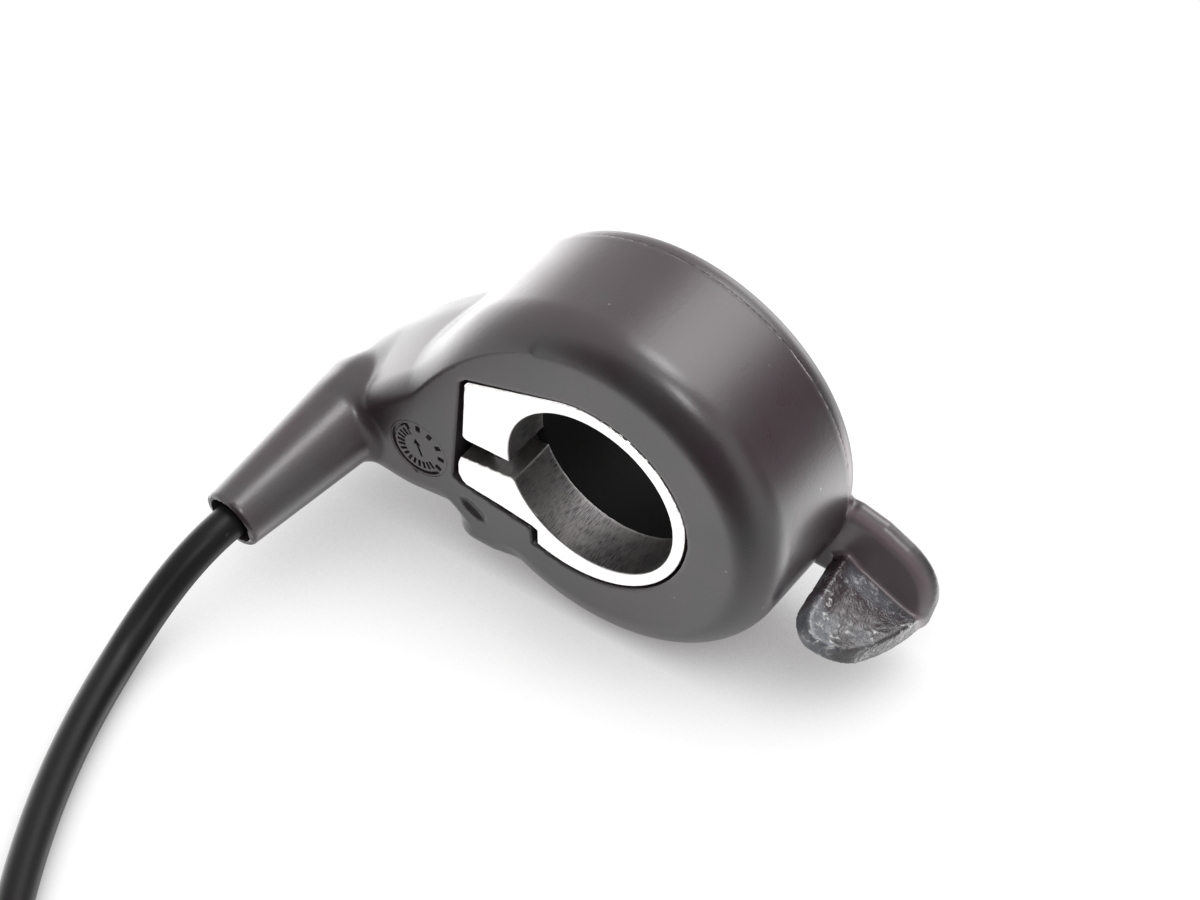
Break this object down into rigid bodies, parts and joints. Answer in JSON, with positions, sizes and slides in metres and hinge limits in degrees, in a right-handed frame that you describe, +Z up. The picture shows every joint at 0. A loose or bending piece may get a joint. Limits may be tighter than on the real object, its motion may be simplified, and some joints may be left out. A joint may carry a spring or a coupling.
{
  "type": "thumb throttle",
  "caption": "Thumb throttle for an electric bicycle: drum housing with a split clamp for the handlebar, a sprung thumb lever turning round the bar, and a plugged cable.",
  "frame": {"origin": "centre of the handlebar bore on the clamp's front face", "axes": "+Y along the handlebar from the clamp face towards the lever, +X towards the thumb lever, +Z up"},
  "size_m": [0.0767, 0.122, 0.0466],
  "materials": {
    "housing_plastic": "satin black moulded plastic with fine grain",
    "lever_plastic": "satin black, glossy worn thumb pad",
    "clamp_aluminium": "bare machined aluminium",
    "screw_steel": "blackened steel",
    "spring_steel": "bright spring steel",
    "magnet_nickel": "nickel plated magnet",
    "washer_nylon": "natural nylon",
    "board_laminate": "green solder mask",
    "capacitor_ceramic": "ceramic chip with tinned ends",
    "sensor_resin": "moulded epoxy",
    "tinned_leads": "tinned copper",
    "potting_resin": "cured sealing resin",
    "wire_red_pvc": "soft insulation",
    "wire_black_pvc": "soft insulation",
    "wire_green_pvc": "soft insulation",
    "cable_pvc": "smooth black cable jacket",
    "plug_plastic": "black moulded plug",
    "insert_plastic": "yellow contact carrier",
    "pin_brass": "gold flashed pins",
    "seal_rubber": "matt rubber"
  },
  "bodies": {
    "base": {"housing": "housing_plastic", "bar_clamp": "clamp_aluminium", "clamp_screw": "screw_steel", "return_spring": "spring_steel", "thrust_washer": "washer_nylon", "retaining_clip": "spring_steel", "neck_cover": "housing_plastic", "neck_cover_screws": "screw_steel", "sensor_board": "board_laminate", "filter_capacitor": "capacitor_ceramic", "hall_sensor": "sensor_resin", "sensor_leads": "tinned_leads", "potting_compound": "potting_resin", "wire_red": "wire_red_pvc", "wire_black": "wire_black_pvc", "wire_green": "wire_green_pvc", "cable_jacket": "cable_pvc", "cable_tie": "washer_nylon", "connector_shell": "plug_plastic", "connector_insert": "insert_plastic", "connector_pins": "pin_brass", "connector_seal": "seal_rubber", "connector_nut": "plug_plastic"},
    "thumb_lever": {"lever": "lever_plastic", "lever_magnets": "magnet_nickel"}
  },
  "joints": [
    {"name": "lever_swing", "type": "hinge", "parent": "base", "child": "thumb_lever", "pos_m": [0, 0.018, 0], "axis": [0, 1, 0], "range_deg": [0, 60], "stiffness_Nm_per_rad": 0.08, "springref_deg": -17.19, "deforming": ["return_spring"]}
  ]
}
